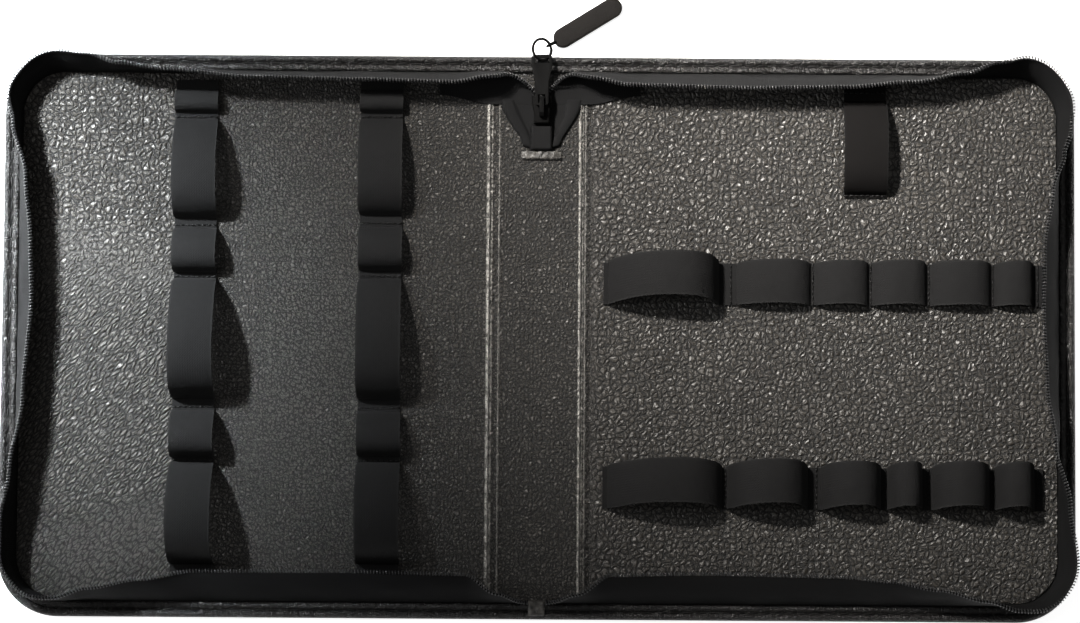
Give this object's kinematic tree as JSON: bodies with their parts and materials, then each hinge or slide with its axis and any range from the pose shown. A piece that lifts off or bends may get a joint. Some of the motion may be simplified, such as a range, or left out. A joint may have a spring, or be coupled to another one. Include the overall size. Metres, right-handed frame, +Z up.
{
  "type": "open zip-round tool case",
  "caption": "Flat zip-round tool case of grained leatherette, lying open on its back, with elastic tool loops on both halves, standing zip walls and a long pull tab.",
  "frame": {"origin": "under the middle of the spine, on the surface that the case lies on", "axes": "+X along the open case from the half with two columns of loops to the half with two rows, +Y towards the slider's edge, +Z up out of the open case"},
  "size_m": [0.482, 0.28, 0.0254],
  "materials": {
    "leatherette": "semi-gloss black-brown leatherette with a fine pebbled grain",
    "grained_lining": "semi-gloss dark grey-brown leatherette with a coarse pebbled grain",
    "zip_tape_cloth": "matt black woven zip tape",
    "coil_plastic": "satin black nylon coil",
    "elastic": "matt charcoal woven elastic",
    "black_metal": "satin black coated metal",
    "tab_rubber": "matt dark brown-grey moulded rubber, bare"
  },
  "bodies": {
    "root": {"cover_skin": "leatherette", "gusset_bar": "leatherette", "edge_tab": "leatherette", "panel_left": "grained_lining", "panel_right": "grained_lining", "spine_strip": "grained_lining", "zip_tape_left": "zip_tape_cloth", "zip_tape_right": "zip_tape_cloth", "tape_gusset": "zip_tape_cloth", "tape_end": "zip_tape_cloth", "zip_coil_left": "coil_plastic", "zip_coil_right": "coil_plastic", "band_left_outer": "elastic", "band_left_inner": "elastic", "band_right_upper": "elastic", "band_right_lower": "elastic", "strap_right": "elastic", "slider_body": "black_metal", "slider_puller": "black_metal", "pull_ring": "black_metal", "pull_eye": "black_metal", "pull_tab": "tab_rubber"}
  },
  "joints": []
}
